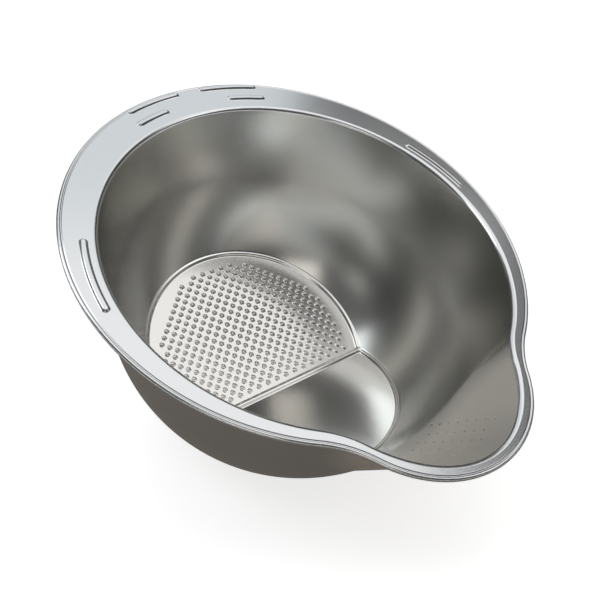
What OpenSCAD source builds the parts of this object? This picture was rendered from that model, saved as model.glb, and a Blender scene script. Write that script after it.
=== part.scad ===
// Rice washing and draining bowl.
// One sheet pressing, drawn as the zones it is formed in.  Millimetres, +Z up.
// The bowl is set down on its smooth drain foot, tipped forward, with the spout along +X.
// It is balanced close to that foot's edge, so empty and unheld it tips back on to the other.
// The shapes are first drawn level, with the top of the rim at height 0, and then tipped
// into that pose by in_rest_pose().

/* [Sheet] */
// thickness of the pressed sheet
sheet = 0.8; // [0.6:0.1:1.0]

/* [Bowl] */
// radius of the mouth
mouth_r = 110; // [109:0.5:112]
// radius of the rounded lower body, inside
body_r = 103.4; // [102.5:0.1:104]
// depth of the centre of the rounded body under the rim
body_drop = 32.5; // [31:0.5:34]

/* [Rim] */
// radius of the outer edge of the rim
rim_r = 125.3; // [124:0.1:127]
// distance the outer edge is set back from the centre of the mouth
rim_back = 8.5; // [7:0.1:10]
// radius of the rim around the spout
rim_tip_r = 60.5; // [59:0.5:62]
// distance from the mouth's centre to the centre of that radius
rim_tip_x = 82.9; // [82:0.1:84]
// radius of the hollow curves where the rim runs into the spout
rim_waist_r = 60; // [50:1:70]
// width of the turned down edge
hem_w = 1.6; // [1.4:0.1:2]
// height of the turned down edge
hem_h = 2.6; // [2:0.1:3.5]

/* [Spout] */
// distance from the mouth's centre to the spout's lip
tip_x = 137; // [136:0.1:138]
// distance from the mouth's centre to the spout's axis at rim height
spout_axis_x = 65.8; // [64:0.1:68]
// widening angle of the spout, each side
spout_flare = 11.9; // [11:0.1:13]
// diameter of a drain hole
drain_hole_d = 1.5; // [1.2:0.1:2]
// distance between drain holes down the spout
drain_pitch = 7; // [6.5:0.1:7.5]
// distance between rows of drain holes
drain_row_pitch = 6.9; // [6.5:0.1:7]
// rows of drain holes to each side of the middle row
drain_rows = 4; // [2:1:4]

/* [Floors] */
// distance of the fold between the two floors from the mouth's axis
fold_x = 16.6; // [15:0.1:18]
// depth of the fold under the rim
fold_depth = 111.6; // [110.5:0.1:112]
// slope of the dimpled floor, down toward the spout
wash_tilt = 9.3; // [8.5:0.1:10]
// slope of the smooth floor, up toward the spout
drain_tilt = 19; // [18.5:0.1:20]
// depth that each floor is pressed below the body
foot_drop = 1.5; // [1.2:0.1:2]
// width of each flank of the bead along the fold
bead_w = 3; // [2.5:0.1:4]
// half width of that bead's crest
crest_w = 1; // [0.8:0.1:1.4]

/* [Dimples] */
// distance between neighbouring dimples
dimple_pitch = 4.9; // [4.8:0.1:6]
// radius of a dimple at the floor
dimple_r = 1.6; // [1.4:0.1:1.7]
// radius of a dimple at its top
dimple_top_r = 0.7; // [0.5:0.1:0.9]
// height of a dimple
dimple_h = 0.8; // [0.7:0.1:0.9]
// plain margin between the dimples and the rounded edge of their floor
dimple_margin = 9; // [7:0.5:12]
// distance from the fold to the middle of the first row of dimples
dimple_first = 5.8; // [5:0.1:8]

/* [Ribs] */
// width of an embossed rib
rib_w = 4; // [3.5:0.1:4.4]
// height of an embossed rib
rib_h = 1.2; // [0.8:0.1:1.6]
// radius the two side ribs follow
side_rib_r = 116.8; // [116.5:0.1:117.5]
// radius the outer back ribs follow
outer_rib_r = 130; // [129:0.1:130.5]
// radius the inner back ribs follow
inner_rib_r = 119.8; // [119:0.1:121]
// angle from the spout to where a side rib starts
side_rib_from = 92.5; // [88:0.5:100]
// angle from the spout to where a side rib ends
side_rib_to = 112.5; // [104:0.5:120]
// angle from the spout to where an outer back rib starts
outer_rib_from = 161.5; // [155:0.5:166]
// angle from the spout to where an outer back rib ends
outer_rib_to = 176; // [170:0.5:177]
// angle from the spout to where an inner back rib starts
inner_rib_from = 160; // [154:0.5:164]
// angle from the spout to where an inner back rib ends
inner_rib_to = 169.3; // [166:0.1:174]

/* [Hidden] */
$fn = 96;
steel = [0.78, 0.78, 0.76];
steel_dark = [0.66, 0.66, 0.64];
far = 400;  // larger than the bowl, for cutting blocks
over = 5;   // reach of a cutting body past the face it opens
nick = 0.05; // how far the hollow curves cut into the round ones, so that they join

// wall: a cone from the mouth that runs tangent into the round body
wall_lean = acos(body_r / norm([mouth_r, body_drop])) - atan2(body_drop, mouth_r);

// height at which the straight wall meets the round base
join_z = -body_drop - body_r * sin(wall_lean);

// spout: a leaning cone whose lowest line dips just into the round body
spout_bite = 0.6;
spout_lean = acos((body_r - spout_bite) / norm([tip_x, body_drop])) - atan2(body_drop, tip_x);
spout_axis_lean = spout_lean + spout_flare;
spout_r = (tip_x - spout_axis_x)
        * (cos(spout_axis_lean) + tan(spout_flare) * sin(spout_axis_lean));
spout_up = 90;
spout_down = 110;
spout_end_z = -body_drop - body_r * sin(spout_lean);
drain_first = 5.7;  // from the lip to the first hole
drain_last = 69;    // from the lip to the last hole

// floors: circles that the two planes cut in the round body, in each plane's own frame
fold = [fold_x, -fold_depth];
function plane_x(a) = (0 - fold[0]) * cos(a) - (-body_drop - fold[1]) * sin(a);
function plane_gap(a) = (0 - fold[0]) * sin(a) + (-body_drop - fold[1]) * cos(a);
wash_circle_x = plane_x(wash_tilt);
wash_r = sqrt(body_r * body_r - pow(plane_gap(wash_tilt), 2));
drain_circle_x = plane_x(-drain_tilt);
drain_r = sqrt(body_r * body_r - pow(plane_gap(-drain_tilt), 2));
fold_bend = wash_tilt + drain_tilt;
foot_mid_x = (drain_circle_x + drain_r) / 2;

dimple_row = dimple_pitch / sqrt(2);

rim_flange();
rim_hem();
side_ribs();
back_ribs();
left_wall();
right_wall();
left_base();
right_base();
pour_spout();
wash_foot_step();
wash_floor();
floor_dimples();
drain_foot_step();
drain_floor();
floor_bead();

// ---- frames ----

// level drawing to standing pose: the smooth foot flat on the ground, its middle at the origin
module in_rest_pose() {
    translate([-foot_mid_x, 0, foot_drop + sheet])
        rotate([0, drain_tilt, 0])
            translate([-fold[0], 0, -fold[1]])
                children();
}

// the plane of the dimpled floor: origin on the fold, the floor toward -X
module on_wash_plane() {
    translate([fold[0], 0, fold[1]]) rotate([0, wash_tilt, 0]) children();
}

// the plane of the smooth floor: origin on the fold, the floor toward +X
module on_drain_plane() {
    translate([fold[0], 0, fold[1]]) rotate([0, -drain_tilt, 0]) children();
}

// ---- shared bodies ----

// the straight wall as a filled cone, grown outward by grow and closed at height top
module cone_body(grow, top) {
    r = (body_r + grow) / cos(wall_lean) + (join_z + body_drop) * tan(wall_lean);
    translate([0, 0, join_z])
        cylinder(h = top - join_z, r1 = r, r2 = r + (top - join_z) * tan(wall_lean));
}

// the round base as a filled ball cut off where the wall begins
module round_body(grow) {
    intersection() {
        translate([0, 0, -body_drop]) rotate([0, 0, 180]) sphere(body_r + grow);
        translate([-far / 2, -far / 2, join_z - far]) cube([far, far, far]);
    }
}

// the spout as a filled body, grown outward by grow and closed at height top
module spout_solid(grow, top) {
    r = spout_r + grow / cos(spout_flare);
    intersection() {
        translate([spout_axis_x, 0, 0])
            rotate([0, spout_axis_lean, 0])
                translate([0, 0, -spout_down]) rotate([0, 0, 180])
                    cylinder(h = spout_down + spout_up,
                             r1 = r + spout_down * tan(spout_flare),
                             r2 = r - spout_up * tan(spout_flare));
        translate([0, -far / 2, spout_end_z]) cube([far, far, top - spout_end_z]);
    }
}

// everything under the two floor planes
module under_floors() {
    on_wash_plane() translate([-far / 2, -far / 2, -far]) cube([far, far, far]);
    on_drain_plane() translate([-far / 2, -far / 2, -far]) cube([far, far, far]);
}

// flat slab in the rim's outline, its edge moved inward by inset
module rim_slab(inset, h) {
    span = rim_tip_x + rim_back;
    a = rim_r + rim_waist_r;
    b = rim_tip_r + rim_waist_r;
    waist_x = (a * a - b * b + span * span) / (2 * span);
    waist_y = sqrt(a * a - waist_x * waist_x);
    translate([-rim_back, 0, 0]) {
        cylinder(h = h, r = rim_r - inset);
        translate([span, 0, 0]) cylinder(h = h, r = rim_tip_r - inset);
        difference() {
            linear_extrude(h)
                polygon([[0, 0], [waist_x, waist_y], [span, 0], [waist_x, -waist_y]]);
            for (side = [-1, 1])
                translate([waist_x, side * waist_y, -over])
                    cylinder(h = h + 2 * over, r = rim_waist_r + inset + nick);
        }
    }
}

// ---- rim ----

module rim_flange() {
    color(steel) in_rest_pose() difference() {
        translate([0, 0, -sheet]) rim_slab(hem_w, sheet);
        cone_body(sheet, over);
        spout_solid(sheet, over);
    }
}

module rim_hem() {
    color(steel) in_rest_pose() translate([0, 0, -hem_h]) difference() {
        rim_slab(0, hem_h);
        translate([0, 0, -over]) rim_slab(hem_w, hem_h + 2 * over);
    }
}

// one rib on the rim, from angle a0 to a1 on radius r, with rounded ends
module rib(r, a0, a1) {
    linear_extrude(rib_h) {
        difference() {
            circle(r + rib_w / 2);
            circle(r - rib_w / 2);
            rotate(a0) translate([-far, -far]) square([2 * far, far]);
            rotate(a1) translate([-far, 0]) square([2 * far, far]);
        }
        for (a = [a0, a1]) rotate(a) translate([r, 0]) circle(rib_w / 2);
    }
}

module side_ribs() {
    color(steel) in_rest_pose() {
        rib(side_rib_r, side_rib_from, side_rib_to);
        rib(side_rib_r, -side_rib_to, -side_rib_from);
    }
}

module back_ribs() {
    color(steel) in_rest_pose() {
        rib(outer_rib_r, outer_rib_from, outer_rib_to);
        rib(outer_rib_r, -outer_rib_to, -outer_rib_from);
        rib(inner_rib_r, inner_rib_from, inner_rib_to);
        rib(inner_rib_r, -inner_rib_to, -inner_rib_from);
    }
}

// ---- body ----

// block that cuts away everything on the side given by side
module other_side(side) {
    translate([-far / 2, side > 0 ? 0 : -far, -far / 2]) cube([far, far, far]);
}

// the straight wall all round
module wall_shell() {
    difference() {
        cone_body(sheet, 0);
        cone_body(0, over);
        spout_solid(0, over);
    }
}

// the rounded part below it, down to the floors
module base_shell() {
    difference() {
        difference() {
            round_body(sheet);
            translate([0, 0, -body_drop]) rotate([0, 0, 180]) sphere(body_r);
            under_floors();
        }
        spout_solid(0, over);
    }
}

// left is +Y, seen by someone who looks toward the spout
module left_wall() {
    color(steel_dark) in_rest_pose() difference() {
        wall_shell();
        other_side(-1);
    }
}

module right_wall() {
    color(steel_dark) in_rest_pose() difference() {
        wall_shell();
        other_side(1);
    }
}

module left_base() {
    color(steel_dark) in_rest_pose() difference() {
        base_shell();
        other_side(-1);
    }
}

module right_base() {
    color(steel_dark) in_rest_pose() difference() {
        base_shell();
        other_side(1);
    }
}

module pour_spout() {
    color(steel_dark) in_rest_pose() difference() {
        difference() {
            spout_solid(sheet, 0);
            spout_solid(0, over);
            cone_body(sheet, over);
            round_body(sheet);
        }
        drain_holes();
    }
}

// staggered rows of holes through the spout, square to its middle line
module drain_holes() {
    for (row = [-drain_rows : drain_rows])
        for (s = [drain_first + abs(row) * drain_pitch / 2 : drain_pitch : drain_last])
            translate([tip_x - s * sin(spout_lean), row * drain_row_pitch, -s * cos(spout_lean)])
                rotate([0, 90 + spout_lean, 0])
                    cylinder(h = 4 * over, d = drain_hole_d, center = true);
}

// ---- floors ----

// D-shaped outline of a floor: circle at x on radius r, kept to one side of the fold
module floor_outline(x, r, side, gap) {
    intersection() {
        translate([x, 0]) circle(r);
        translate([side > 0 ? gap : -far - gap, -far / 2]) square([far, far]);
    }
}

module wash_foot_step() {
    color(steel) in_rest_pose() on_wash_plane()
        translate([0, 0, -foot_drop - sheet]) linear_extrude(foot_drop + sheet) difference() {
            floor_outline(wash_circle_x, wash_r + sheet, -1, 0);
            floor_outline(wash_circle_x, wash_r, -1, -over);
        }
}

module drain_foot_step() {
    color(steel) in_rest_pose() on_drain_plane()
        translate([0, 0, -foot_drop - sheet]) linear_extrude(foot_drop + sheet) difference() {
            floor_outline(drain_circle_x, drain_r + sheet, 1, 0);
            floor_outline(drain_circle_x, drain_r, 1, -over);
        }
}

module drain_floor() {
    color(steel) in_rest_pose() on_drain_plane()
        translate([0, 0, -foot_drop - sheet])
            linear_extrude(sheet) floor_outline(drain_circle_x, drain_r, 1, bead_w);
}

module wash_floor() {
    color(steel) in_rest_pose() on_wash_plane()
        translate([0, 0, -foot_drop - sheet])
            linear_extrude(sheet) floor_outline(wash_circle_x, wash_r, -1, bead_w);
}

// caps on a square grid turned 45 degrees to the fold, inside the plain margin
module floor_dimples() {
    reach = wash_r - dimple_margin;
    rows = ceil(2 * wash_r / dimple_row);
    half = ceil(wash_r / (2 * dimple_row));
    color(steel) in_rest_pose() on_wash_plane() translate([0, 0, -foot_drop])
        for (i = [0 : rows])
            for (j = [-half : half]) {
                x = -dimple_first - i * dimple_row;
                y = (2 * j + i % 2) * dimple_row;
                if (norm([x - wash_circle_x, y]) < reach)
                    translate([x, y, 0]) cylinder(h = dimple_h, r1 = dimple_r, r2 = dimple_top_r);
            }
}

// half of the bead along the fold, drawn toward +X
module bead_half() {
    corner = -sheet * tan(fold_bend / 2);
    rotate([90, 0, 0]) linear_extrude(far, center = true)
        polygon([[0, 0], [crest_w, 0], [bead_w, -foot_drop], [bead_w, -foot_drop - sheet],
                 [crest_w, -sheet], [corner, -sheet]]);
}

module floor_bead() {
    color(steel) in_rest_pose() {
        on_wash_plane() intersection() {
            rotate([0, 0, 180]) bead_half();
            translate([wash_circle_x, 0, -over]) cylinder(h = 2 * over, r = wash_r);
        }
        on_drain_plane() intersection() {
            bead_half();
            translate([drain_circle_x, 0, -over]) cylinder(h = 2 * over, r = drain_r);
        }
    }
}
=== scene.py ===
"""Looks of the rice washing bowl.

The pressing is one smooth surface, worked out from its forming shapes and cut into the zones that
the CAD part has.  Shapes are in the level frame of the rim (millimetres, top of the rim at height 0),
and to_rest() tips them into the set-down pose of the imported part.
"""
import math

import bpy
import numpy as np
from mathutils import Matrix, Vector
from mathutils.geometry import delaunay_2d_cdt


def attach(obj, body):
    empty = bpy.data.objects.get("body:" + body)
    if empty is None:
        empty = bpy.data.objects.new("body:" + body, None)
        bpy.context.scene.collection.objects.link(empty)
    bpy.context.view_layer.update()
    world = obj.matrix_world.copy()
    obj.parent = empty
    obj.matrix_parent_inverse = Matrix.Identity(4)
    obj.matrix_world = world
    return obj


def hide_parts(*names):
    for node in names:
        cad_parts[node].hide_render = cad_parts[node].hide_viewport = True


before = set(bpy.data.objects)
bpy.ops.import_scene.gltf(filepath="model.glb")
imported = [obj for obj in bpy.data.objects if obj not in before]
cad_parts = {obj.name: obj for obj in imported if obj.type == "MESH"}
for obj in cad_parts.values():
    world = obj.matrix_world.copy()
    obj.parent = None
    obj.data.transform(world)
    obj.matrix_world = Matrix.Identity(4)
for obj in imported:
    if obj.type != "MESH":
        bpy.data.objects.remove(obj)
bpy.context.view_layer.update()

# ---- sizes, the same as the part's ----
SHEET = 0.8
MOUTH_R, BODY_R, BODY_DROP = 110.0, 103.4, 32.5
RIM_R, RIM_BACK = 125.3, 8.5
RIM_TIP_R, RIM_TIP_X, RIM_WAIST_R = 60.5, 82.9, 60.0
TIP_X, SPOUT_AXIS_X, SPOUT_FLARE = 137.0, 65.8, math.radians(11.9)
HOLE_R, HOLE_PITCH, HOLE_ROW_PITCH, HOLE_ROWS = 0.75, 7.0, 6.9, 4
HOLE_FIRST, HOLE_LAST = 5.7, 69.0
FOLD_X, FOLD_DEPTH = 16.6, 111.6
WASH_TILT, DRAIN_TILT = math.radians(9.3), math.radians(19)
FOOT_DROP = 1.5
DIMPLE_PITCH, DIMPLE_H = 4.9, 0.8
DIMPLE_MARGIN, DIMPLE_FIRST = 9.0, 5.8
RIB_W, RIB_H = 4.0, 1.2
SIDE_RIB = (116.8, 92.5, 112.5)
OUTER_RIB = (130.0, 161.5, 176.0)
INNER_RIB = (119.8, 160.0, 169.3)

# ---- rounding that the pressing has ----
LIP_R = 2.6            # rounded lip between the wall and the rim
WAIST_BLEND = 35.0     # hollow curve between the wall and the spout
LEDGE = 0.5            # how far inside the body's edge a floor's step begins
STEP_W = 2.4           # width of a floor's step
LEDGE_BLEND = 2.2      # hollow curve between the body and that ledge
BEAD_R, BEAD_RISE = 1.5, 0.25   # round bead along the fold, and its crest above the fold
BEAD_BLEND = 1.4

# ---- mesh density ----
COLUMNS = 600
WALL_ROWS = 84
EYE = np.array([0.0, 0.0, -45.0])   # a point inside from which the whole inner surface is seen

WALL_LEAN = math.acos(BODY_R / math.hypot(MOUTH_R, BODY_DROP)) - math.atan2(BODY_DROP, MOUTH_R)
SPOUT_LEAN = math.acos((BODY_R - 0.6) / math.hypot(TIP_X, BODY_DROP)) - math.atan2(BODY_DROP, TIP_X)
SPOUT_AXIS_LEAN = SPOUT_LEAN + SPOUT_FLARE
SPOUT_WIDENING = math.cos(SPOUT_AXIS_LEAN) + math.tan(SPOUT_FLARE) * math.sin(SPOUT_AXIS_LEAN)
SPOUT_R = (TIP_X - SPOUT_AXIS_X) * SPOUT_WIDENING
JOIN_Z = -BODY_DROP - BODY_R * math.sin(WALL_LEAN)
SPOUT_BACK = 68.0      # behind this distance the spout is inside the body and ends


def floor_circle(tilt):
    """Centre along the floor, radius, of the circle a floor plane cuts in the round body."""
    rise = FOLD_DEPTH - BODY_DROP
    x = -FOLD_X * math.cos(tilt) - rise * math.sin(tilt)
    gap = -FOLD_X * math.sin(tilt) + rise * math.cos(tilt)
    return x, math.sqrt(BODY_R ** 2 - gap ** 2)


WASH_X, WASH_R = floor_circle(WASH_TILT)
DRAIN_X, DRAIN_R = floor_circle(-DRAIN_TILT)
FOOT_MID = (DRAIN_X + DRAIN_R) / 2


def to_rest(points):
    """Level frame, millimetres -> standing pose, metres."""
    c, s = math.cos(DRAIN_TILT), math.sin(DRAIN_TILT)
    x, y, z = points[..., 0] - FOLD_X, points[..., 1], points[..., 2] + FOLD_DEPTH
    return np.stack([x * c + z * s - FOOT_MID, y, -x * s + z * c + FOOT_DROP + SHEET], -1) / 1000


def turn_to_rest(vectors):
    c, s = math.cos(DRAIN_TILT), math.sin(DRAIN_TILT)
    x, y, z = vectors[..., 0], vectors[..., 1], vectors[..., 2]
    return np.stack([x * c + z * s, y, -x * s + z * c], -1)


def on_floor(p, tilt):
    """Level frame -> a floor plane's own frame, origin on the fold."""
    c, s = math.cos(tilt), math.sin(tilt)
    x, z = p[..., 0] - FOLD_X, p[..., 2] + FOLD_DEPTH
    return x * c - z * s, p[..., 1], x * s + z * c


def from_floor(x, y, z, tilt):
    c, s = math.cos(tilt), math.sin(tilt)
    return np.stack([x * c + z * s + FOLD_X, y + 0 * x, -x * s + z * c - FOLD_DEPTH], -1)


# ---- the inner surface, as where a function of space is zero (below zero is open space) ----

def dot(a, b):
    return (a * b).sum(-1)


def body_shape(p):
    rho = np.hypot(p[..., 0], p[..., 1]) + 1e-9
    h = p[..., 2] + BODY_DROP
    c, s = math.cos(WALL_LEAN), math.sin(WALL_LEAN)
    straight = rho * s + h * c > 0
    far = np.hypot(rho, h)
    d = np.where(straight, rho * c - h * s, far) - BODY_R
    side = np.where(straight, c, rho / far) / rho
    n = np.stack([p[..., 0] * side, p[..., 1] * side, np.where(straight, -s, h / far)], -1)
    return d, n


def spout_shape(p):
    u = np.array([math.sin(SPOUT_AXIS_LEAN), 0, math.cos(SPOUT_AXIS_LEAN)])
    q = p - np.array([SPOUT_AXIS_X, 0, 0])
    h = q @ u
    r = q - h[..., None] * u
    size = np.linalg.norm(r, axis=-1) + 1e-9
    c, s = math.cos(SPOUT_FLARE), math.sin(SPOUT_FLARE)
    behind = np.maximum(SPOUT_BACK - p[..., 0], 0)     # the spout ends where it is inside the body
    return (size - SPOUT_R) * c + h * s + 0.03 * behind ** 2, r / size[..., None] * c + u * s


def hollow_join(a, b, cos_ab, r):
    """Union of two open spaces, with a hollow curve of radius r between their walls."""
    s2 = np.maximum(1 - cos_ab ** 2, 1e-5)
    a1, b1 = a - r, b - r
    inside = (a1 - b1 * cos_ab < 0) & (b1 - a1 * cos_ab < 0)
    v = np.sqrt(np.maximum(a1 ** 2 + b1 ** 2 - 2 * a1 * b1 * cos_ab, 0) / s2)
    return np.where(inside, r - v, np.minimum(a, b))


def round_corner(a, b, cos_ab, r):
    """Intersection of two open spaces, with their corner rounded to radius r."""
    s2 = 1 - cos_ab ** 2
    a1, b1 = a + r, b + r
    inside = (a1 - b1 * cos_ab > 0) & (b1 - a1 * cos_ab > 0)
    v = np.sqrt(np.maximum(a1 ** 2 + b1 ** 2 - 2 * a1 * b1 * cos_ab, 0) / s2)
    return np.where(inside, v - r, np.maximum(a, b))


def ease(t):
    t = np.clip(t, 0, 1)
    return t * t * t * (t * (6 * t - 15) + 10)


def floor_level(x, y, cx, r):
    """Height of a floor over its plane: 0 outside, pressed down inside its circle."""
    inward = r - LEDGE - np.hypot(x - cx, y)
    return -FOOT_DROP * ease(inward / STEP_W)


def wall_shape(p):
    a, na = body_shape(p)
    b, nb = spout_shape(p)
    return hollow_join(a, b, np.clip(dot(na, nb), -1, 1), WAIST_BLEND)


def surface(p):
    wx, wy, wz = on_floor(p, WASH_TILT)
    dx, dy, dz = on_floor(p, -DRAIN_TILT)
    wash = floor_level(wx, wy, WASH_X, WASH_R) - wz
    drain = floor_level(dx, dy, DRAIN_X, DRAIN_R) - dz
    floors = np.maximum(wash, drain)
    half = (DRAIN_TILT - WASH_TILT) / 2     # the bead's axis lies on the middle of the two floors
    bx = p[..., 0] - FOLD_X + (BEAD_R - BEAD_RISE) * -math.sin(half)
    bz = p[..., 2] + FOLD_DEPTH + (BEAD_R - BEAD_RISE) * math.cos(half)
    bead = BEAD_R - np.hypot(bx, bz)
    floors = round_corner(floors, bead, 0.25, BEAD_BLEND)
    return round_corner(wall_shape(p), floors, 0.75, LEDGE_BLEND)


def cast(directions):
    """Where rays from EYE meet the inner surface."""
    lo = np.full(len(directions), 15.0)
    hi = np.full(len(directions), 190.0)
    for _ in range(13):
        mid = (lo + hi) / 2
        out = surface(EYE + mid[:, None] * directions) > 0
        hi = np.where(out, mid, hi)
        lo = np.where(out, lo, mid)
    f_lo, f_hi = surface(EYE + lo[:, None] * directions), surface(EYE + hi[:, None] * directions)
    for _ in range(6):
        mid = lo + (hi - lo) * np.clip(-f_lo / (f_hi - f_lo + 1e-12), 0.05, 0.95)
        f = surface(EYE + mid[:, None] * directions)
        out = f > 0
        hi, f_hi = np.where(out, mid, hi), np.where(out, f, f_hi)
        lo, f_lo = np.where(out, lo, mid), np.where(out, f_lo, f)
    best = lo + (hi - lo) * np.clip(-f_lo / (f_hi - f_lo + 1e-12), 0, 1)
    return EYE + best[:, None] * directions


def gradient(f, p, eps=2e-3):
    g = np.stack([f(p + d) - f(p - d) for d in np.eye(3) * eps], -1)
    return g / np.linalg.norm(g, axis=-1, keepdims=True)


def inward(p):
    """Unit normal of the inner surface, toward the open space."""
    return -gradient(surface, p)


def heading(azimuth, elevation):
    return np.stack([np.cos(azimuth) * np.cos(elevation), np.sin(azimuth) * np.cos(elevation),
                     np.sin(elevation)], -1)


def angles(p):
    q = p - EYE
    return np.arctan2(q[..., 1], q[..., 0]), np.arctan2(q[..., 2], np.hypot(q[..., 0], q[..., 1]))


# ---- a store of faces, each with its own corner normals ----

class Skin:
    """Faces by zone; each corner has a place and a normal."""

    def __init__(self):
        self.faces = {}

    def add(self, zone, places, normals):
        """places and normals: faces x corners x 3.  Each face is turned to agree with its normals."""
        if len(places):
            front = np.cross(places[:, 1] - places[:, 0], places[:, 2] - places[:, 0])
            wrong = dot(front, normals.mean(1)) < 0
            places, normals = places.copy(), normals.copy()
            places[wrong], normals[wrong] = places[wrong][:, ::-1], normals[wrong][:, ::-1]
            self.faces.setdefault(zone, []).append((places, normals))

    def add_both(self, zones, index, v, n):
        """The inner faces and, a sheet's thickness behind them, the outer ones."""
        for zone in sorted(set(zones)):
            f = index[zones == zone]
            self.add(zone, v[f], n[f])
            back = f[:, ::-1]
            self.add(zone, v[back] - SHEET * n[back], -n[back])


skin = Skin()


def quads(rows, columns, start=0, closed=True):
    """Faces of a grid, vertex = row * columns + column."""
    r = np.arange(rows - 1)[:, None]
    c = np.arange(columns if closed else columns - 1)[None, :]
    d = (c + 1) % columns
    q = np.stack([r * columns + c, r * columns + d, (r + 1) * columns + d, (r + 1) * columns + c], -1)
    return q.reshape(-1, 4) + start


def triangulate(points, loops, edges=()):
    """Triangles over 2-D points, inside the first loop and outside the others.
    Returns the triangles and, for each vertex used, its place and the input point it came from."""
    constraint = [tuple(int(i) for i in e) for e in edges]
    for loop in loops:
        constraint += [(int(loop[k]), int(loop[(k + 1) % len(loop)])) for k in range(len(loop))]
    out = delaunay_2d_cdt([Vector(p) for p in points.tolist()], constraint, [], 0, 1e-7, True)
    place = np.array([tuple(v) for v in out[0]])
    origin = np.array([o[0] if o else -1 for o in out[3]])
    tri = np.array([f for f in out[2] if len(f) == 3], int)
    mid = place[tri].mean(1)
    keep = inside(mid, points[loops[0]])
    for hole in loops[1:]:
        keep &= ~inside(mid, points[hole])
    tri = tri[keep]
    a, b, c = place[tri[:, 0]], place[tri[:, 1]], place[tri[:, 2]]
    area = (b[:, 0] - a[:, 0]) * (c[:, 1] - a[:, 1]) - (b[:, 1] - a[:, 1]) * (c[:, 0] - a[:, 0])
    tri[area < 0] = tri[area < 0][:, ::-1]
    return tri[np.abs(area) > 1e-12], place, origin


def inside(points, loop):
    """Which points lie inside a closed loop."""
    a, b = loop, np.roll(loop, -1, 0)
    lo, hi = loop.min(0), loop.max(0)
    near = np.where(((points >= lo) & (points <= hi)).all(1))[0]
    result = np.zeros(len(points), bool)
    for part in np.array_split(near, max(1, len(near) // 2000)):
        x, y = points[part, 0][:, None], points[part, 1][:, None]
        cross = (a[:, 1] > y) != (b[:, 1] > y)
        with np.errstate(divide="ignore", invalid="ignore"):
            at = a[:, 0] + (y - a[:, 1]) * (b[:, 0] - a[:, 0]) / (b[:, 1] - a[:, 1])
        result[part] = (cross & (x < at)).sum(1) % 2 == 1
    return result


def thin_out(points, gap, kept=None):
    """Drops points closer than gap to an earlier one."""
    cells, keep = {}, []
    def near(p):
        cx, cy = int(p[0] // gap), int(p[1] // gap)
        for i in (-1, 0, 1):
            for j in (-1, 0, 1):
                for q in cells.get((cx + i, cy + j), ()):
                    if (p[0] - q[0]) ** 2 + (p[1] - q[1]) ** 2 < gap * gap:
                        return True
        return False
    for p in (kept.tolist() if kept is not None else []):
        cells.setdefault((int(p[0] // gap), int(p[1] // gap)), []).append(p)
    for k, p in enumerate(points.tolist()):
        if not near(p):
            cells.setdefault((int(p[0] // gap), int(p[1] // gap)), []).append(p)
            keep.append(k)
    return points[keep]


# ---- the mouth and the lip ----

def mouth_points():
    """Where the wall would meet the rim's plane, its outward direction there and its lean."""
    azimuth = np.arange(COLUMNS) * (2 * math.pi / COLUMNS)
    ray = np.stack([np.cos(azimuth), np.sin(azimuth), 0 * azimuth], -1)
    lo, hi = np.full(COLUMNS, 90.0), np.full(COLUMNS, 160.0)
    for _ in range(40):
        mid = (lo + hi) / 2
        out = wall_shape(mid[:, None] * ray) > 0
        hi, lo = np.where(out, mid, hi), np.where(out, lo, mid)
    p = lo[:, None] * ray
    g = gradient(wall_shape, p)
    flat = np.hypot(g[:, 0], g[:, 1])
    out = np.stack([g[:, 0] / flat, g[:, 1] / flat, 0 * flat], -1)
    return p, out, np.arctan2(-g[:, 2], flat)


UP = np.array([0.0, 0.0, 1.0])
mouth, mouth_out, lean = mouth_points()
reach = LIP_R * np.tan((math.pi / 2 - lean) / 2)
wall_top = mouth - reach[:, None] * (mouth_out * np.sin(lean)[:, None] + UP * np.cos(lean)[:, None])
azimuth, top_elevation = angles(wall_top)
wall_top = cast(heading(azimuth, top_elevation))

# ---- the wall, as a grid from a loop around the floors up to the lip ----
LOOP_RISE = 3.2     # the loop's height over the floor planes


def floor_loop():
    """Elevation, in each column, where the body is LOOP_RISE above the nearer floor plane."""
    lo, hi = np.full(COLUMNS, -1.5), np.full(COLUMNS, -0.35)
    for _ in range(26):
        mid = (lo + hi) / 2
        p = cast(heading(azimuth, mid))
        above = np.minimum(on_floor(p, WASH_TILT)[2], on_floor(p, -DRAIN_TILT)[2]) > LOOP_RISE
        hi, lo = np.where(above, mid, hi), np.where(above, lo, mid)
    return hi


low_elevation = floor_loop()
share = np.linspace(0, 1, WALL_ROWS)[:, None]
grid_elevation = low_elevation + (top_elevation - low_elevation) * share
grid_azimuth = np.broadcast_to(azimuth, grid_elevation.shape)
grid = cast(heading(grid_azimuth, grid_elevation).reshape(-1, 3))
grid_n = inward(grid)


def wall_zone(p):
    """Zone name of points on the wall."""
    spout = spout_shape(p)[0] < body_shape(p)[0]
    left = p[:, 1] > 0
    high = p[:, 2] > JOIN_Z
    wall = np.where(left, "left_wall", "right_wall")
    base = np.where(left, "left_base", "right_base")
    names = np.where(high, wall, base)
    return np.where(spout, "pour_spout", names)


# ---- drain holes: a window in that grid, filled with triangles around round holes ----

def hole_centres():
    out = []
    for row in range(-HOLE_ROWS, HOLE_ROWS + 1):
        s = HOLE_FIRST + abs(row) * HOLE_PITCH / 2
        while s <= HOLE_LAST + 1e-6:
            out.append((TIP_X - s * math.sin(SPOUT_LEAN), row * HOLE_ROW_PITCH, -s * math.cos(SPOUT_LEAN)))
            s += HOLE_PITCH
    return np.array(out)


HOLE_AXIS = np.array([math.cos(SPOUT_LEAN), 0, -math.sin(SPOUT_LEAN)])
HOLE_DOWN = np.array([math.sin(SPOUT_LEAN), 0, math.cos(SPOUT_LEAN)])


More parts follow.
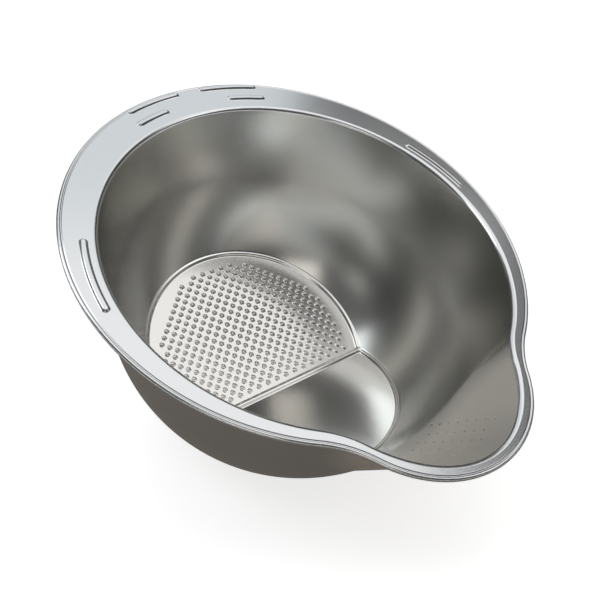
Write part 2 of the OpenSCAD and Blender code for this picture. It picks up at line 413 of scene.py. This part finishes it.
def along_axis(p):
    """Moves points along the holes' axis onto the inner surface."""
    lo, hi = np.full(len(p), -25.0), np.full(len(p), 6.0)
    for _ in range(34):
        mid = (lo + hi) / 2
        out = surface(p + mid[:, None] * HOLE_AXIS) > 0
        hi, lo = np.where(out, mid, hi), np.where(out, lo, mid)
    return p + lo[:, None] * HOLE_AXIS


HOLE_SIDES = 20
centres = hole_centres()
turn = np.arange(HOLE_SIDES) * 2 * math.pi / HOLE_SIDES
spoke = np.cos(turn)[:, None] * HOLE_DOWN + np.sin(turn)[:, None] * np.array([0, 1.0, 0])
bore = along_axis((centres[:, None] + HOLE_R * spoke).reshape(-1, 3))
halo = along_axis((centres[:, None] + (HOLE_R + 0.45) * spoke[::2]).reshape(-1, 3))
bore_angles = np.stack(angles(bore), -1)
halo_angles = np.stack(angles(halo), -1)


def flat_angles(a):
    """Azimuth and elevation as a plane with about equal scales, in millimetres at the spout."""
    return np.stack([(a[..., 0] + math.pi) % (2 * math.pi) - math.pi, a[..., 1]], -1) * 100.0


bore_flat, halo_flat = flat_angles(bore_angles), flat_angles(halo_angles)
grid_flat = flat_angles(np.stack([grid_azimuth, grid_elevation], -1))
span = int(np.ceil((np.abs(bore_flat[:, 0]).max() + 1.5) / (2 * math.pi / COLUMNS * 100.0)))
window_columns = np.arange(-span, span + 1) % COLUMNS
low_row = int((grid_flat[:, window_columns, 1] < bore_flat[:, 1].min() - 1.2).all(1).sum()) - 1
high_row = WALL_ROWS - 1 - 1
rows_in = np.arange(low_row, high_row + 1)
ring = ([(low_row, c) for c in window_columns] + [(r, window_columns[-1]) for r in rows_in[1:-1]]
        + [(high_row, c) for c in window_columns[::-1]] + [(r, window_columns[0]) for r in rows_in[-2:0:-1]])
ring = np.array(ring)
ring_flat = grid_flat[ring[:, 0], ring[:, 1]]
inner = np.array([(r, c) for r in rows_in[1:-1] for c in window_columns[1:-1]])
inner_flat = grid_flat[inner[:, 0], inner[:, 1]]
gap = np.full(len(inner_flat), 1e9)
for c in np.array_split(bore_flat, 40):
    gap = np.minimum(gap, np.linalg.norm(inner_flat[:, None] - c[None], axis=-1).min(1))
inner_flat = inner_flat[gap > 0.75]
for k in range(len(centres)):
    inner_flat = inner_flat[~inside(inner_flat, bore_flat[k * HOLE_SIDES:(k + 1) * HOLE_SIDES])]
plane = np.concatenate([ring_flat, bore_flat, halo_flat, inner_flat])
loops = [np.arange(len(ring_flat))]
loops += [len(ring_flat) + k * HOLE_SIDES + np.arange(HOLE_SIDES) for k in range(len(centres))]
tri, place, origin = triangulate(plane, loops)
patch = cast(heading(place[:, 0] / 100.0, place[:, 1] / 100.0))
on_ring = (origin >= 0) & (origin < len(ring_flat))
ring_index = ring[origin[on_ring]]
patch[on_ring] = grid.reshape(WALL_ROWS, COLUMNS, 3)[ring_index[:, 0], ring_index[:, 1]]
patch_n = inward(patch)
skin.add_both(wall_zone(patch[tri].mean(1)), tri, patch, patch_n)
# the walls of the holes
bore_n = inward(bore)
a = np.arange(len(bore))
b = (a // HOLE_SIDES) * HOLE_SIDES + (a + 1) % HOLE_SIDES
bore_out = bore - SHEET * bore_n
middle = np.repeat(along_axis(centres), HOLE_SIDES, 0)
to_middle = middle - bore
to_middle /= np.linalg.norm(to_middle, axis=1, keepdims=True)
skin.add("pour_spout", np.stack([bore[a], bore_out[a], bore_out[b], bore[b]], 1),
         np.stack([to_middle[a], to_middle[a], to_middle[b], to_middle[b]], 1))

# the grid's faces outside the window
face = quads(WALL_ROWS, COLUMNS)
face_row, face_column = face[:, 0] // COLUMNS, face[:, 0] % COLUMNS
offset = (face_column + span) % COLUMNS
in_window = (offset < 2 * span) & (face_row >= low_row) & (face_row < high_row)
face = face[~in_window]
skin.add_both(wall_zone(grid[face].mean(1)), face, grid, grid_n)

# ---- floors: triangles inside the loop, denser along the steps, the bead and the dimples ----

def view_plane(p):
    """Points under EYE as a plane, straight lines staying straight."""
    q = p - EYE
    return q[..., :2] / -q[..., 2:] * 66.0


def from_view_plane(w):
    d = np.concatenate([w / 66.0, -np.ones((len(w), 1))], 1)
    return d / np.linalg.norm(d, axis=1, keepdims=True)


def arc_rows(cx, r, tilt, side):
    """Points along a floor's step."""
    out = []
    for k in np.arange(-10, 8) * 0.36:
        radius = r - LEDGE + k
        t = np.arange(0, 2 * math.pi, 1.25 / radius)
        x, y = cx + radius * np.cos(t), radius * np.sin(t)
        ok = side * x > -0.5
        level = np.where(k > 0, k * 0.9, floor_level(x, y, cx, r))
        out.append(from_floor(x[ok], y[ok], (level + 0 * x)[ok], tilt))
    return np.concatenate(out)


def bead_rows():
    out = []
    half = math.sqrt(WASH_R ** 2 - WASH_X ** 2) + 1.5
    for k in np.arange(-11, 12) * 0.33:
        y = np.arange(-half, half, 1.3)
        tilt = WASH_TILT if k < 0 else -DRAIN_TILT
        level = -FOOT_DROP * min(1, abs(k) / 2.5)
        out.append(from_floor(k + 0 * y, y, level + 0 * y, tilt))
    return np.concatenate(out)


def dimple_centres():
    row = DIMPLE_PITCH / math.sqrt(2)
    out = []
    for i in range(int(2 * WASH_R / row)):
        x = -DIMPLE_FIRST - i * row
        for j in range(-20, 21):
            y = (2 * j + i % 2) * row
            if math.hypot(x - WASH_X, y) < WASH_R - DIMPLE_MARGIN:
                out.append((x, y))
    return np.array(out)


dimples = dimple_centres()
DIMPLE_SIDES = 16
turn = np.arange(DIMPLE_SIDES) * 2 * math.pi / DIMPLE_SIDES
SKIRT = 2.0     # radius at which a dimple's foot runs out into the floor
DIMPLE_FULLNESS = 0.22   # how much fuller a dimple's flank is than a cosine
foot_x = (dimples[:, 0][:, None] + SKIRT * np.cos(turn)).ravel()
foot_y = (dimples[:, 1][:, None] + SKIRT * np.sin(turn)).ravel()
foot = from_floor(foot_x, foot_y, -FOOT_DROP + 0 * foot_x, WASH_TILT)
foot_flat = view_plane(foot)

bottom_loop = grid[:COLUMNS]
loop_flat = view_plane(bottom_loop)
fill_x, fill_y = np.meshgrid(np.arange(-105, 60, 4.5), np.arange(-75, 76, 4.5))
fill = np.stack([fill_x.ravel(), fill_y.ravel()], -1).astype(float)
rows_flat = view_plane(np.concatenate([bead_rows(), arc_rows(WASH_X, WASH_R, WASH_TILT, -1),
                                       arc_rows(DRAIN_X, DRAIN_R, -DRAIN_TILT, 1)]))
rows_flat = rows_flat[inside(rows_flat, loop_flat)]
rows_flat = thin_out(rows_flat, 0.27, loop_flat)
fill = fill[inside(fill, loop_flat)]
fill = thin_out(fill, 2.6, np.concatenate([rows_flat, loop_flat]))
dimple_feet = from_floor(dimples[:, 0], dimples[:, 1], -FOOT_DROP + 0 * dimples[:, 0], WASH_TILT)
gap = np.linalg.norm(fill[:, None] - view_plane(dimple_feet)[None], axis=-1).min(1)
fill = fill[gap > SKIRT + 0.9]
plane = np.concatenate([loop_flat, foot_flat, rows_flat, fill])
foot_starts = [COLUMNS + k * DIMPLE_SIDES for k in range(len(dimples))]
loops = [np.arange(COLUMNS)] + [start + np.arange(DIMPLE_SIDES) for start in foot_starts]
tri, place, origin = triangulate(plane, loops)
bed = cast(from_view_plane(place))
on_loop = (origin >= 0) & (origin < COLUMNS)
bed[on_loop] = bottom_loop[origin[on_loop]]
bed_n = inward(bed)


def floor_zone(p):
    wx, wy, _ = on_floor(p, WASH_TILT)
    dx, dy, _ = on_floor(p, -DRAIN_TILT)
    out_w = np.hypot(wx - WASH_X, wy) - WASH_R
    out_d = np.hypot(dx - DRAIN_X, dy) - DRAIN_R
    wash_side = p[:, 0] < FOLD_X
    out = np.where(wash_side, out_w, out_d)
    names = np.where(wash_side, "wash_floor", "drain_floor")
    names = np.where(out > -STEP_W - LEDGE, np.where(wash_side, "wash_foot_step", "drain_foot_step"), names)
    names = np.where((np.abs(wx) < 3.0) & (out < -0.6), "floor_bead", names)
    base = np.where(p[:, 1] > 0, "left_base", "right_base")
    spout = spout_shape(p)[0] < body_shape(p)[0] - 0.02
    return np.where(out > 0.55, np.where(spout, "pour_spout", base), names)


skin.add_both(floor_zone(bed[tri].mean(1)), tri, bed, bed_n)


def add_dimples():
    """A smooth round cap over each foot circle."""
    rings = SKIRT * np.linspace(1, 0.14, 7)
    phase = math.pi * rings / SKIRT
    level = DIMPLE_H * 0.5 * (1 + np.cos(phase)) * (1 + DIMPLE_FULLNESS * np.sin(phase))
    slope = np.gradient(level, rings)
    slope[0] = 0
    x = dimples[:, 0][:, None, None] + rings[None, :, None] * np.cos(turn)
    y = dimples[:, 1][:, None, None] + rings[None, :, None] * np.sin(turn)
    z = -FOOT_DROP + level[None, :, None] + 0 * x
    v = from_floor(x, y, z, WASH_TILT)
    fall = -slope[:, None]
    n = np.stack([fall * np.cos(turn), fall * np.sin(turn), 1 + 0 * fall * turn], -1)
    n /= np.linalg.norm(n, axis=-1, keepdims=True)
    c, s = math.cos(WASH_TILT), math.sin(WASH_TILT)
    n = np.stack([n[..., 0] * c + n[..., 2] * s, n[..., 1], -n[..., 0] * s + n[..., 2] * c], -1)
    n = np.broadcast_to(n, v.shape)
    count = len(rings) * DIMPLE_SIDES
    v, n = v.reshape(-1, 3), n.reshape(-1, 3)
    q = quads(len(rings), DIMPLE_SIDES)
    all_q = (np.arange(len(dimples))[:, None, None] * count + q).reshape(-1, 4)
    names = np.full(len(all_q), "floor_dimples")
    skin.add_both(names, all_q, v, n)
    last = (len(rings) - 1) * DIMPLE_SIDES + np.arange(DIMPLE_SIDES)
    cap_c = from_floor(dimples[:, 0], dimples[:, 1], -FOOT_DROP + DIMPLE_H + 0 * dimples[:, 0], WASH_TILT)
    up = np.array([s, 0, c])
    v2 = np.concatenate([v, cap_c])
    n2 = np.concatenate([n, np.broadcast_to(up, cap_c.shape)])
    k = np.arange(len(dimples))[:, None]
    t = np.stack([k * count + last, k * count + np.roll(last, -1), len(v) + k + 0 * last], -1).reshape(-1, 3)
    skin.add_both(np.full(len(t), "floor_dimples"), t, v2, n2)


add_dimples()

# ---- the rim: lip, flange with its ribs, rolled hem ----

def rim_outline(t):
    """Point and outward direction on the rim's outer edge, at azimuth t from the mouth's centre."""
    span_x = RIM_TIP_X + RIM_BACK
    a, b = RIM_R + RIM_WAIST_R, RIM_TIP_R + RIM_WAIST_R
    wx = (a * a - b * b + span_x ** 2) / (2 * span_x)
    wy = math.sqrt(a * a - wx * wx)
    main, tip = np.array([-RIM_BACK, 0.0]), np.array([RIM_TIP_X, 0.0])
    waist = np.array([wx - RIM_BACK, wy])
    on_main = main + (waist - main) * RIM_R / a
    on_tip = tip + (waist - tip) * RIM_TIP_R / b
    t1, t2 = math.atan2(on_main[1], on_main[0]), math.atan2(on_tip[1], on_tip[0])
    side = np.where(t < 0, -1.0, 1.0)
    s = np.abs(t)
    u = np.stack([np.cos(s), np.sin(s)], -1)
    centre = np.where((s > t1)[:, None], main, np.where((s < t2)[:, None], tip, waist))
    radius = np.where(s > t1, RIM_R, np.where(s < t2, RIM_TIP_R, RIM_WAIST_R))
    sign = np.where((s <= t1) & (s >= t2), -1.0, 1.0)
    half_b = dot(u, centre)
    r = half_b + sign * np.sqrt(half_b ** 2 - dot(centre, centre) + radius ** 2)
    p = u * r[:, None]
    n = (p - centre) / radius[:, None] * sign[:, None]
    p[:, 1] *= side
    n[:, 1] *= side
    zero = 0 * r
    return np.stack([p[:, 0], p[:, 1], zero], -1), np.stack([n[:, 0], n[:, 1], zero], -1)


def sweep(base, out, profile, normals, zone, back=False):
    """A grid: profile points (outward, up) set along a line of base points."""
    v = base[None] + profile[:, 0][:, None, None] * out[None] + profile[:, 1][:, None, None] * UP
    n = normals[:, 0][:, None, None] * out[None] + normals[:, 1][:, None, None] * UP
    index = quads(len(profile), len(base))
    v, n = v.reshape(-1, 3), n.reshape(-1, 3)
    skin.add(zone, v[index], n[index])
    return v, n


# the lip, from the top of the wall to the flat flange
LIP_STEPS = 12
psi = np.linspace(0, 1, LIP_STEPS)[:, None] * (math.pi / 2 - lean)[None]
lip_n = (-np.cos(lean + psi))[..., None] * mouth_out + np.sin(lean + psi)[..., None] * UP
lip_c = mouth + reach[:, None] * mouth_out - LIP_R * UP
lip = lip_c + LIP_R * lip_n
lip[0] = wall_top
lip_n[0] = inward(wall_top)
index = quads(LIP_STEPS, COLUMNS)
skin.add_both(np.full(len(index), "rim_flange"), index, lip.reshape(-1, 3), lip_n.reshape(-1, 3))

# the rolled hem
GROOVE, GROOVE_W, ROLL_R = 0.32, 1.5, 1.3
edge, edge_out = rim_outline((np.arctan2(mouth[:, 1], mouth[:, 0]) + math.pi) % (2 * math.pi) - math.pi)
g = np.linspace(0, 1, 9)
groove = np.stack([-(ROLL_R + GROOVE_W) + g * GROOVE_W, -GROOVE * 0.5 * (1 - np.cos(2 * math.pi * g))], -1)
w = np.linspace(math.pi / 2, -math.pi, 26)[1:]
roll = np.stack([-ROLL_R + ROLL_R * np.cos(w), -ROLL_R + ROLL_R * np.sin(w)], -1)
profile = np.concatenate([groove, roll])
tangent = np.gradient(profile, axis=0)
normal = np.stack([-tangent[:, 1], tangent[:, 0]], -1)
normal /= np.linalg.norm(normal, axis=1, keepdims=True)
normal[0] = (0, 1)
normal[len(groove):] = np.stack([np.cos(w), np.sin(w)], -1)
sweep(edge, edge_out, profile, normal, "rim_hem")
hem_start = edge - (ROLL_R + GROOVE_W) * edge_out


# the flange between them, flat but for the ribs
class Rib:
    """An embossed ridge along an arc about the mouth's centre."""

    def __init__(self, spec, side, zone):
        self.r, a, b = spec
        self.a, self.b = sorted((math.radians(a * side), math.radians(b * side)))
        self.zone = zone

    def outline(self, d):
        """Closed ring at distance d from the rib's centre line."""
        n = int(self.r * (self.b - self.a) / 0.9)
        t = np.linspace(self.a, self.b, n)
        ends = max(7, int(math.pi * d / 0.5))
        w = np.linspace(0, math.pi, ends + 2)[1:-1]
        def at(radius, ang):
            return np.stack([radius * np.cos(ang), radius * np.sin(ang)], -1)
        def cap(ang, start):
            c = at(self.r, np.array([ang]))
            v = ang + start + w
            return c + d * np.stack([np.cos(v), np.sin(v)], -1)
        far_side, near_side = at(self.r + d, t), at(self.r - d, t[::-1])
        return np.concatenate([far_side, cap(self.b, 0), near_side, cap(self.a, math.pi)])

    def distance(self, p):
        ang = np.arctan2(p[:, 1], p[:, 0])
        if self.b > math.pi / 2 and self.a > 0:
            ang = np.where(ang < 0, ang + 2 * math.pi, ang)
        if self.a < -math.pi / 2:
            ang = np.where(ang > 0, ang - 2 * math.pi, ang)
        c = np.clip(ang, self.a, self.b)
        return np.hypot(p[:, 0] - self.r * np.cos(c), p[:, 1] - self.r * np.sin(c))


ribs = [Rib(SIDE_RIB, s, "side_ribs") for s in (1, -1)]
ribs += [Rib(spec, s, "back_ribs") for spec in (OUTER_RIB, INNER_RIB) for s in (1, -1)]
RIB_FOOT = RIB_W / 2 + 0.35


def rib_height(p):
    """Height and gradient of the ribs over the flange."""
    def h(q):
        total = np.zeros(len(q))
        for rib in ribs:
            total = np.maximum(total, RIB_H * ease((RIB_FOOT - rib.distance(q)) / 1.7))
        return total
    e = 1e-3
    gx = (h(p + (e, 0)) - h(p - (e, 0))) / (2 * e)
    gy = (h(p + (0, e)) - h(p - (0, e))) / (2 * e)
    return h(p), gx, gy


lip_end = lip[-1][:, :2]
outer = hem_start[:, :2]
steps = np.linspace(0, 1, 7)[1:-1]
belt = np.concatenate([lip_end + (outer - lip_end) * s for s in steps])
keep = np.ones(len(belt), bool)
for rib in ribs:
    keep &= rib.distance(belt) > RIB_FOOT + 0.5
belt = belt[keep]
rings = np.concatenate([rib.outline(d) for rib in ribs for d in np.arange(0.25, RIB_FOOT + 0.1, 0.3)])
plane = np.concatenate([outer, lip_end, rings, belt])
tri, place, origin = triangulate(plane, [np.arange(COLUMNS), COLUMNS + np.arange(COLUMNS)])
h, gx, gy = rib_height(place)
flange = np.column_stack([place, h])
flange_n = np.column_stack([-gx, -gy, np.ones(len(h))])
flange_n /= np.linalg.norm(flange_n, axis=1, keepdims=True)
mid = place[tri].mean(1)
zones = np.full(len(tri), "rim_flange")
for rib in ribs:
    zones = np.where(rib.distance(mid) < RIB_FOOT, rib.zone, zones)
skin.add_both(zones, tri, flange, flange_n)

# ---- pieces ----

def spout_share(p):
    """0 on the bowl, 1 on the spout, with a soft change across the hollow curve between them."""
    t = np.clip((body_shape(p)[0] - spout_shape(p)[0] + 3.0) / 9.0, 0, 1)
    return t * t * (3 - 2 * t)


def make_piece(name, groups):
    """One mesh from groups of faces, corners at the same place sharing a vertex."""
    places = np.concatenate([p.reshape(-1, 3) for p, _ in groups])
    normals = np.concatenate([n.reshape(-1, 3) for _, n in groups])
    sizes = np.concatenate([np.full(len(p), p.shape[1]) for p, _ in groups])
    key, corner = np.unique(np.round(places, 4), axis=0, return_inverse=True)
    verts = to_rest(key)
    mesh = bpy.data.meshes.new(name)
    mesh.vertices.add(len(verts))
    mesh.vertices.foreach_set("co", verts.ravel().astype(np.float32))
    mesh.loops.add(len(corner))
    mesh.loops.foreach_set("vertex_index", corner.ravel().astype(np.int32))
    mesh.polygons.add(len(sizes))
    starts = np.concatenate([[0], np.cumsum(sizes)[:-1]])
    mesh.polygons.foreach_set("loop_start", starts.astype(np.int32))
    mesh.polygons.foreach_set("use_smooth", np.ones(len(sizes), bool))
    mesh.update(calc_edges=True)
    ground = mesh.attributes.new("ground", "FLOAT", "POINT")
    ground.data.foreach_set("value", spout_share(key).astype(np.float32))
    mesh.normals_split_custom_set(turn_to_rest(normals).astype(np.float32))
    obj = bpy.data.objects.new(name, mesh)
    bpy.context.scene.collection.objects.link(obj)
    return obj


pieces = {zone: make_piece(zone + "_pressing", groups) for zone, groups in skin.faces.items()}
print("pieces", {k: len(o.data.polygons) for k, o in pieces.items()})

# ---- steel ----

def nodes_of(name):
    mat = bpy.data.materials.new(name)
    mat.use_nodes = True
    tree = mat.node_tree
    tree.nodes.clear()
    out = tree.nodes.new("ShaderNodeOutputMaterial")
    bsdf = tree.nodes.new("ShaderNodeBsdfPrincipled")
    tree.links.new(bsdf.outputs["BSDF"], out.inputs["Surface"])
    return mat, tree, bsdf


FINE_SPREAD, CLOUD_SPREAD = 0.015, 0.01   # how much the roughness varies, finely and in patches


def brushed_steel(name, tone, rough, grain, spun, ground=None):
    """Satin steel: fine grain that runs round the bowl, and a faint cloudiness.
    ground, if given, is the tone and roughness that it has on the spout."""
    mat, tree, bsdf = nodes_of(name)
    link, new = tree.links.new, tree.nodes.new
    coord = new("ShaderNodeTexCoord")
    place = new("ShaderNodeMapping")    # into the rim's level frame
    place.inputs["Rotation"].default_value = (0, -DRAIN_TILT, 0)
    link(coord.outputs["Object"], place.inputs["Vector"])
    split = new("ShaderNodeSeparateXYZ")
    link(place.outputs["Vector"], split.inputs["Vector"])

    def op(kind, a, b=None):
        node = new("ShaderNodeMath")
        node.operation = kind
        for k, value in enumerate((a, b)):
            if value is None:
                continue
            if isinstance(value, (int, float)):
                node.inputs[k].default_value = value
            else:
                link(value, node.inputs[k])
        return node.outputs[0]

    angle = op("ARCTAN2", split.outputs["Y"], split.outputs["X"])
    radius = op("SQRT", op("ADD", op("POWER", split.outputs["X"], 2.0), op("POWER", split.outputs["Y"], 2.0)))
    combine = new("ShaderNodeCombineXYZ")
    link(op("MULTIPLY", angle, spun), combine.inputs["X"])
    link(op("MULTIPLY", radius, grain), combine.inputs["Y"])
    link(op("MULTIPLY", split.outputs["Z"], grain), combine.inputs["Z"])
    fine = new("ShaderNodeTexNoise")
    fine.inputs["Scale"].default_value = 1.0
    fine.inputs["Detail"].default_value = 3.0
    link(combine.outputs["Vector"], fine.inputs["Vector"])
    cloud = new("ShaderNodeTexNoise")
    cloud.inputs["Scale"].default_value = 16.0
    cloud.inputs["Detail"].default_value = 2.0
    link(place.outputs["Vector"], cloud.inputs["Vector"])

    def spread(source, low, high):
        node = new("ShaderNodeMapRange")
        node.inputs["From Min"].default_value = 0.25
        node.inputs["From Max"].default_value = 0.75
        node.inputs["To Min"].default_value = low
        node.inputs["To Max"].default_value = high
        link(source, node.inputs["Value"])
        return node.outputs["Result"]

    mix = new("ShaderNodeMix")
    mix.data_type = "RGBA"
    mix.inputs["A"].default_value = (*[c * 0.965 for c in tone], 1)
    mix.inputs["B"].default_value = (*tone, 1)
    link(spread(fine.outputs["Fac"], 0.0, 1.0), mix.inputs["Factor"])
    scratches = spread(fine.outputs["Fac"], -FINE_SPREAD, FINE_SPREAD)
    patches = spread(cloud.outputs["Fac"], rough - CLOUD_SPREAD, rough + CLOUD_SPREAD)
    both = op("ADD", scratches, patches)
    colour = mix.outputs["Result"]
    if ground:
        share = new("ShaderNodeAttribute")
        share.attribute_name = "ground"
        over = new("ShaderNodeMix")
        over.data_type = "RGBA"
        link(share.outputs["Fac"], over.inputs["Factor"])
        link(colour, over.inputs["A"])
        over.inputs["B"].default_value = (*ground[0], 1)
        colour = over.outputs["Result"]
        both = op("ADD", both, op("MULTIPLY", share.outputs["Fac"], ground[1] - rough))
    link(colour, bsdf.inputs["Base Color"])
    link(both, bsdf.inputs["Roughness"])
    bsdf.inputs["Metallic"].default_value = 1.0
    bump = new("ShaderNodeBump")
    bump.inputs["Strength"].default_value = 0.012
    bump.inputs["Distance"].default_value = 0.0001
    link(fine.outputs["Fac"], bump.inputs["Height"])
    link(bump.outputs["Normal"], bsdf.inputs["Normal"])
    return mat


rim_steel = brushed_steel("rim_steel", (0.82, 0.83, 0.84), 0.2, 2600.0, 30.0)
# painted shade: the wall's tone is darker than the rim's and the floor's, though the pressing is all one
# steel
wall_steel = brushed_steel("wall_steel", (0.68, 0.68, 0.66), 0.23, 2000.0, 30.0, ((0.95, 0.91, 0.85), 0.52))
floor_steel = brushed_steel("floor_steel", (0.84, 0.83, 0.81), 0.16, 2000.0, 30.0)
STEEL = {"rim_steel": rim_steel, "wall_steel": wall_steel, "floor_steel": floor_steel}
SLOT = {"rim_flange": "rim_steel", "rim_hem": "rim_steel", "side_ribs": "rim_steel", "back_ribs": "rim_steel",
        "left_wall": "wall_steel", "right_wall": "wall_steel", "left_base": "wall_steel",
        "right_base": "wall_steel", "pour_spout": "wall_steel"}
for zone, obj in pieces.items():
    slot = SLOT.get(zone, "floor_steel")
    obj.data.materials.append(STEEL[slot])
    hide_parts(zone)
    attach(obj, "root")

# ---- stage: a plain pale floor and backdrop, and soft studio light ----

FLOOR_Z = -0.0004       # just under the foot, so that the two do not touch
FLOOR_SIZE = 7.0
REFLECTION_CARD_SIZE = 0.6          # dim dark card that only the steel mirrors: a painted reflection that darkens the outer wall
STUDIO_DISTANCE = 1.5   # from the bowl to each softbox
VIEW_AZIMUTH, VIEW_ELEVATION, VIEW_ROLL = -40.8, 34.4, 4.0   # camera, in degrees from the spout
VIEW_AIM, VIEW_DISTANCE, VIEW_LENS = Vector((-0.039, 0.0105, 0.0612)), 0.45, 46.4


def stage_mat(name, colour, strength=0.0):
    mat, tree, bsdf = nodes_of(name)
    bsdf.inputs["Base Color"].default_value = (*colour, 1)
    bsdf.inputs["Roughness"].default_value = 0.9
    bsdf.inputs["Specular IOR Level"].default_value = 0.0
    if strength:
        bsdf.inputs["Emission Color"].default_value = (*colour, 1)
        bsdf.inputs["Emission Strength"].default_value = strength
    return mat


def stage_object(name, verts, faces, mat):
    mesh = bpy.data.meshes.new(name)
    mesh.from_pydata(verts, [], faces)
    mesh.materials.append(mat)
    obj = bpy.data.objects.new(name, mesh)
    bpy.context.scene.collection.objects.link(obj)
    return obj


def disc(name, radius, z, mat, sides=96):
    turns = [2 * math.pi * k / sides for k in range(sides)]
    ring = [(radius * math.cos(t), radius * math.sin(t), z) for t in turns]
    return stage_object(name, ring, [tuple(range(sides))], mat)


def glossy_only(obj):
    """Seen only as a reflection in the steel."""
    obj.visible_camera = obj.visible_diffuse = obj.visible_shadow = False
    obj.visible_transmission = obj.visible_volume_scatter = False


def way_towards(azimuth, elevation):
    """Unit vector at these angles in degrees, azimuth from the spout."""
    az, el = math.radians(azimuth), math.radians(elevation)
    return Vector((math.cos(az) * math.cos(el), math.sin(az) * math.cos(el), math.sin(el)))


def softbox(name, turn, elevation, width, height, brightness, tint=(1, 1, 1)):
    """A glowing card that faces the bowl; turn is in degrees round from the camera."""
    x, y = width / 2, height / 2
    mat = stage_mat(name, (0, 0, 0))
    glow = mat.node_tree.nodes["Principled BSDF"]
    glow.inputs["Emission Color"].default_value = (*tint, 1)
    glow.inputs["Emission Strength"].default_value = brightness
    card = stage_object(name, [(-x, -y, 0), (x, -y, 0), (x, y, 0), (-x, y, 0)], [(0, 1, 2, 3)], mat)
    way = way_towards(VIEW_AZIMUTH + turn, elevation)
    card.location = way * STUDIO_DISTANCE
    card.rotation_euler = (-way).to_track_quat("Z", "Y").to_euler()
    card.visible_camera = False


def studio_room():
    """A dark room that is a little lighter overhead."""
    world = bpy.data.worlds.new("studio")
    bpy.context.scene.world = world
    world.use_nodes = True
    tree = world.node_tree
    coord = tree.nodes.new("ShaderNodeTexCoord")
    split = tree.nodes.new("ShaderNodeSeparateXYZ")
    ramp = tree.nodes.new("ShaderNodeValToRGB")
    tree.links.new(coord.outputs["Generated"], split.inputs["Vector"])
    tree.links.new(split.outputs["Z"], ramp.inputs["Fac"])
    tree.links.new(ramp.outputs["Color"], tree.nodes["Background"].inputs["Color"])
    ramp.color_ramp.elements[0].color = (*[ROOM_LOW] * 3, 1)
    ramp.color_ramp.elements[1].color = (*[ROOM_HIGH] * 3, 1)


ROOM_LOW, ROOM_HIGH = 0.0, 0.2   # brightness of the room at the horizon and overhead
WARM = (1.0, 0.96, 0.9)
COOL = (0.93, 0.98, 1.0)

studio_room()
disc("floor", FLOOR_SIZE, FLOOR_Z, stage_mat("paper", (0.9, 0.9, 0.9), 0.8))
# painted reflection: a faintly glowing dark card under the bowl, seen only in the steel, so the outer wall
# mirrors dark instead of the pale floor
glossy_only(disc("painted_reflection_card", REFLECTION_CARD_SIZE, FLOOR_Z / 2, stage_mat("painted_reflection_card", (0.11, 0.1, 0.09), 1.0)))
softbox("overhead", 180, 80, 1.9, 1.6, 1.0)
softbox("behind", 195, 50, 1.1, 0.8, 0.8, COOL)
softbox("left", -90, 45, 0.6, 0.9, 2.2, COOL)
softbox("right", 90, 45, 0.5, 0.7, 1.3)
softbox("reflector", 0, 30, 0.7, 0.5, 1.2, WARM)


def backdrop(radius, height, mat, sides=64):
    """A pale drum round the stage that only the camera sees."""
    turns = [2 * math.pi * k / sides for k in range(sides)]
    verts = [(radius * math.cos(t), radius * math.sin(t), z) for z in (-height, height) for t in turns]
    wall = [(k, (k + 1) % sides, sides + (k + 1) % sides, sides + k) for k in range(sides)]
    lid = [tuple(range(sides, 2 * sides))]
    drum = stage_object("backdrop", verts, wall + lid, mat)
    drum.visible_glossy = drum.visible_diffuse = drum.visible_shadow = False
    drum.visible_transmission = drum.visible_volume_scatter = False


backdrop(FLOOR_SIZE, FLOOR_SIZE / 2, stage_mat("backdrop", (0.9, 0.9, 0.9), 0.85))

bpy.context.scene.view_settings.view_transform = "Standard"

# ---- camera, at the viewing angle of the reference ----

back = way_towards(VIEW_AZIMUTH, VIEW_ELEVATION)
level_right = Vector((0, 0, 1)).cross(back).normalized()
right = Matrix.Rotation(math.radians(VIEW_ROLL), 3, back) @ level_right
head = back.cross(right)
stand = VIEW_AIM + VIEW_DISTANCE * back
cam = bpy.data.cameras.new("camera")
cam.lens = VIEW_LENS
cam.sensor_width = 36
view = bpy.data.objects.new("camera", cam)
view.matrix_world = Matrix((
    (right.x, head.x, back.x, stand.x),
    (right.y, head.y, back.y, stand.y),
    (right.z, head.z, back.z, stand.z),
    (0, 0, 0, 1)))
bpy.context.scene.collection.objects.link(view)
bpy.context.scene.camera = view
